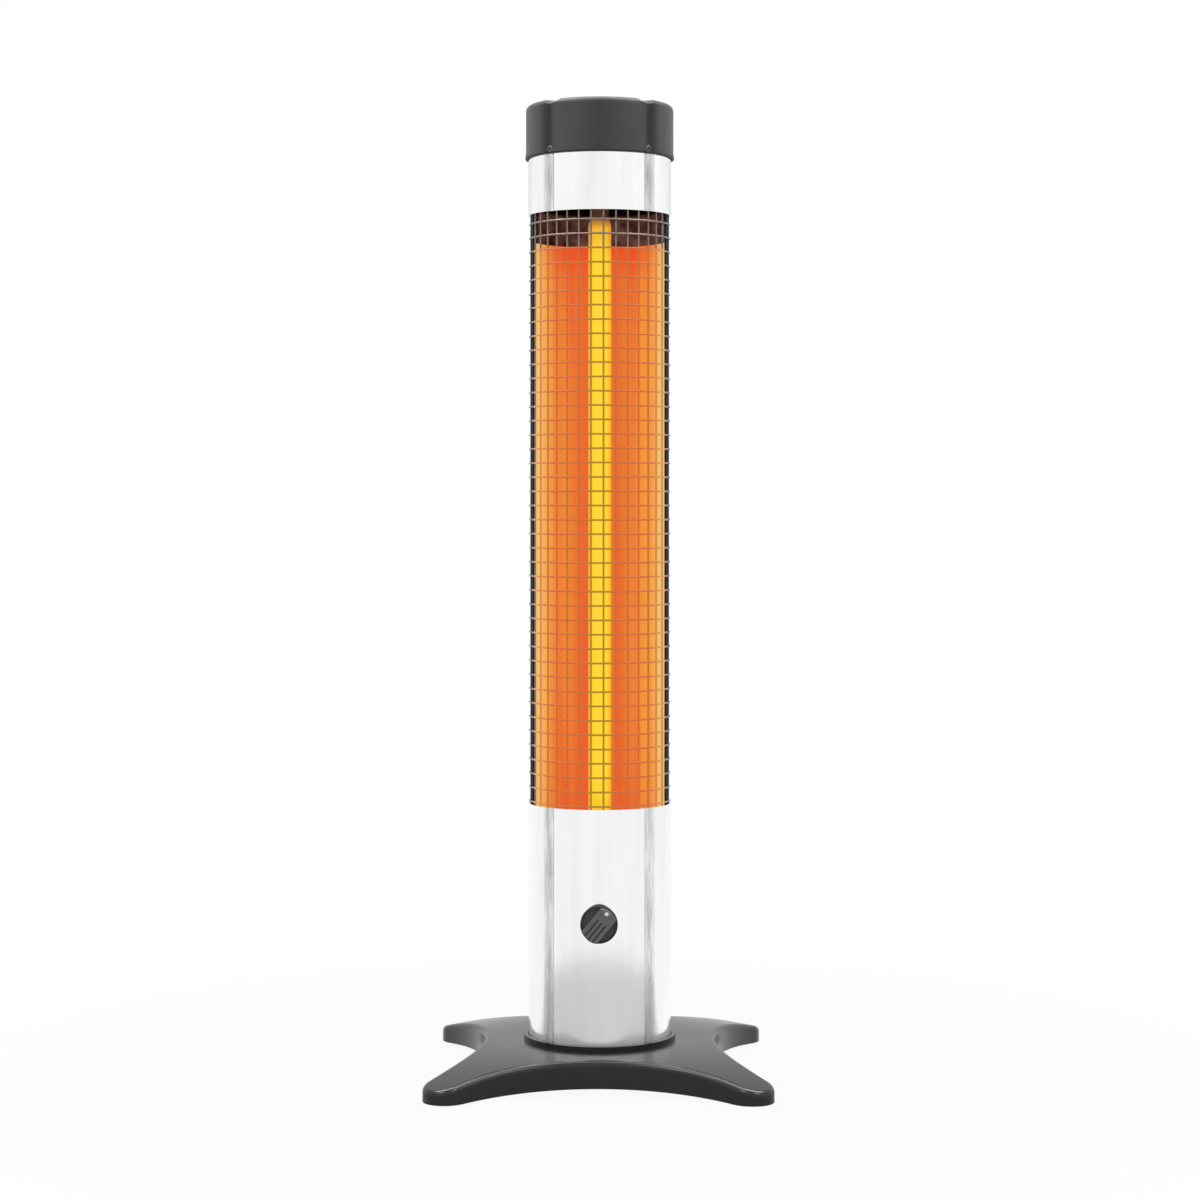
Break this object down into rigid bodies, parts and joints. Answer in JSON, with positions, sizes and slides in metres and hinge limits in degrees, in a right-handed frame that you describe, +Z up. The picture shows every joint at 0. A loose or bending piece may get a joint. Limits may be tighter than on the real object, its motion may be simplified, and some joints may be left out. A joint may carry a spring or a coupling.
{
  "type": "radiant tower heater",
  "caption": "Round upright radiant heater on a four-legged base, with a quartz tube before a curved reflector, a wire guard, a rotary power knob and a tip-over switch.",
  "frame": {"origin": "on the floor, under the column's axis and the middle of the base", "axes": "+Z up along the column, -Y to the front where the tube and knob face, +X to the right seen from the front"},
  "size_m": [0.292, 0.292, 0.8465],
  "materials": {
    "silver_sheet": "satin silver sheet",
    "dark_paint": "matt black heat-proof paint",
    "black_plastic": "fine-grained black moulding",
    "white_print": "white paint fill",
    "switch_plastic": "moulded thermoset",
    "terminal_plastic": "off-white moulded insulator",
    "rubber_pad": "matt",
    "steel_bright": "plated",
    "steel_plate": "galvanised sheet",
    "guard_wire": "bright plated wire",
    "reflector_sheet": "polished sheet",
    "quartz": "clear fused quartz, glowing when on",
    "carbon": "woven carbon ribbon, glowing when on",
    "ceramic_end": "unglazed steatite",
    "lead_red": "silicone sleeve",
    "lead_white": "silicone sleeve",
    "lead_earth": "green insulation"
  },
  "bodies": {
    "heater": {"base_cover": "black_plastic", "base_plate": "steel_plate", "base_plate_screws": "steel_bright", "cap_screws": "steel_bright", "carbon_element": "carbon", "column_screws": "steel_bright", "cord_gland": "black_plastic", "cover_screws": "steel_bright", "cutout_lead": "lead_red", "earth_lead": "lead_earth", "earth_screw": "steel_bright", "end_plate_screws": "steel_bright", "foot_pad_front_left": "rubber_pad", "foot_pad_front_right": "rubber_pad", "foot_pad_rear_left": "rubber_pad", "foot_pad_rear_right": "rubber_pad", "gland_locknut": "black_plastic", "guard_band_lower": "dark_paint", "guard_band_upper": "dark_paint", "heat_shield": "steel_plate", "lower_baffle": "dark_paint", "lower_ceramic_end": "ceramic_end", "lower_cover": "silver_sheet", "lower_end_plate": "black_plastic", "lower_tube_bracket": "steel_plate", "quartz_tube": "quartz", "rear_housing": "silver_sheet", "reflector": "reflector_sheet", "rotary_switch": "switch_plastic", "side_rail_left": "dark_paint", "side_rail_right": "dark_paint", "supply_lead": "lead_red", "switch_bracket": "steel_plate", "switch_lead": "lead_red", "switch_nut": "steel_bright", "terminal_block": "terminal_plastic", "terminal_plate": "steel_plate", "thermal_cutout": "switch_plastic", "tip_spring": "steel_bright", "tip_switch": "switch_plastic", "tip_switch_screws": "steel_bright", "top_cap": "black_plastic", "tube_lower_lead": "lead_white", "tube_upper_lead": "lead_white", "upper_baffle": "dark_paint", "upper_ceramic_end": "ceramic_end", "upper_cover": "silver_sheet", "upper_end_plate": "black_plastic", "upper_tube_bracket": "steel_plate", "wire_guard": "guard_wire"},
    "knob_set": {"knob": "black_plastic", "knob_marker": "white_print", "switch_shaft": "steel_bright"},
    "plunger": {"tip_plunger": "black_plastic"}
  },
  "joints": [
    {"name": "knob_turn", "type": "hinge", "parent": "heater", "child": "knob_set", "pos_m": [0, -0.064, 0.138], "axis": [0, 1, 0], "range_deg": [-45, 45]},
    {"name": "plunger_slide", "type": "slide", "parent": "heater", "child": "plunger", "axis": [0, 0, -1], "range_m": [0, 0.008], "stiffness_N_per_m": 40, "springref_m": 0.01, "deforming": ["tip_spring"]}
  ]
}
